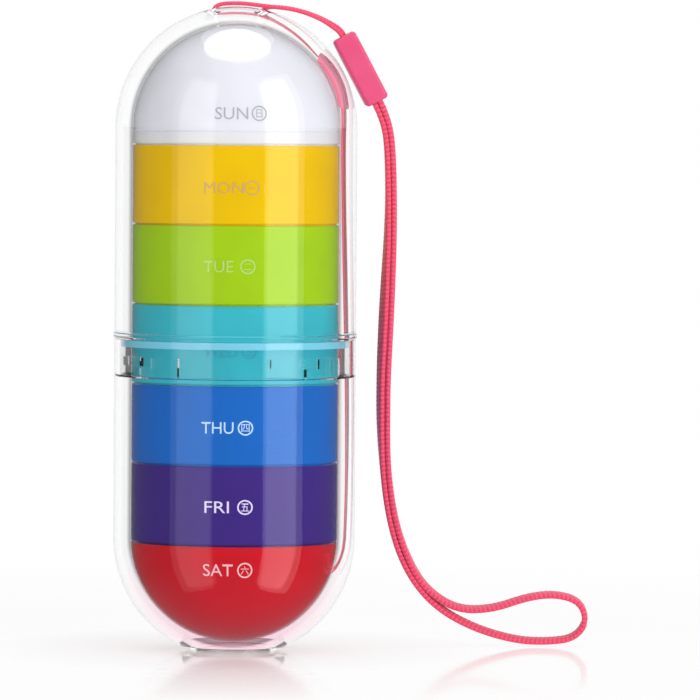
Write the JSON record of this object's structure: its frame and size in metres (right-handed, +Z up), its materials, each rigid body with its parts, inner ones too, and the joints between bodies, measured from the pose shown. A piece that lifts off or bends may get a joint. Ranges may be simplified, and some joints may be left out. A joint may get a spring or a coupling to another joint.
{
  "type": "weekly pill organizer",
  "caption": "Clear capsule-shaped travel case around a stack of round coloured day cups for pills, with a woven wrist strap.",
  "frame": {"origin": "middle of the foot, on the surface the case stands on", "axes": "+Z up along the case's axis, -Y the front with the day legends, +X the side the strap hangs on"},
  "size_m": [0.1109, 0.0564, 0.1502],
  "materials": {
    "clear_case": "clear polished plastic",
    "seal": "pale blue translucent plastic",
    "red_cup": "moulded gloss",
    "purple_cup": "moulded gloss",
    "blue_cup": "moulded gloss",
    "teal_cup": "moulded gloss",
    "green_cup": "moulded gloss",
    "yellow_cup": "moulded gloss",
    "white_cup": "moulded gloss",
    "strap_cord": "braided cord",
    "strap_sleeve": "soft moulded, satin",
    "strap_weave": "woven ribbon"
  },
  "bodies": {
    "base": {"lower_shell": "clear_case"},
    "saturday": {"saturday_cup": "red_cup"},
    "friday": {"friday_cup": "purple_cup"},
    "thursday": {"thursday_cup": "blue_cup"},
    "wednesday": {"wednesday_cup": "teal_cup"},
    "tuesday": {"tuesday_cup": "green_cup"},
    "monday": {"monday_cup": "yellow_cup"},
    "sunday": {"sunday_tray": "white_cup"},
    "lid": {"sunday_lid": "white_cup"},
    "seal": {"seal_ring": "seal"},
    "cap": {"upper_shell": "clear_case", "strap_cord": "strap_cord", "strap_ferrule": "strap_sleeve", "strap_ribbon": "strap_weave"}
  },
  "joints": [
    {"name": "stack_lift", "type": "slide", "parent": "base", "child": "saturday", "axis": [0, 0, 1], "range_m": [0, 0.07]},
    {"name": "friday_lift", "type": "slide", "parent": "saturday", "child": "friday", "axis": [0, 0, 1], "range_m": [0, 0.025]},
    {"name": "thursday_lift", "type": "slide", "parent": "friday", "child": "thursday", "axis": [0, 0, 1], "range_m": [0, 0.025]},
    {"name": "wednesday_lift", "type": "slide", "parent": "thursday", "child": "wednesday", "axis": [0, 0, 1], "range_m": [0, 0.025]},
    {"name": "tuesday_lift", "type": "slide", "parent": "wednesday", "child": "tuesday", "axis": [0, 0, 1], "range_m": [0, 0.025]},
    {"name": "monday_lift", "type": "slide", "parent": "tuesday", "child": "monday", "axis": [0, 0, 1], "range_m": [0, 0.025]},
    {"name": "sunday_lift", "type": "slide", "parent": "monday", "child": "sunday", "axis": [0, 0, 1], "range_m": [0, 0.025]},
    {"name": "lid_lift", "type": "slide", "parent": "sunday", "child": "lid", "axis": [0, 0, 1], "range_m": [0, 0.025]},
    {"name": "cap_lift", "type": "slide", "parent": "lid", "child": "seal", "axis": [0, 0, 1], "range_m": [0, 0.085]},
    {"name": "cap_twist", "type": "hinge", "parent": "seal", "child": "cap", "pos_m": [0, 0, 0.07055], "axis": [0, 0, 1], "range_deg": [-8.5, 45]}
  ]
}
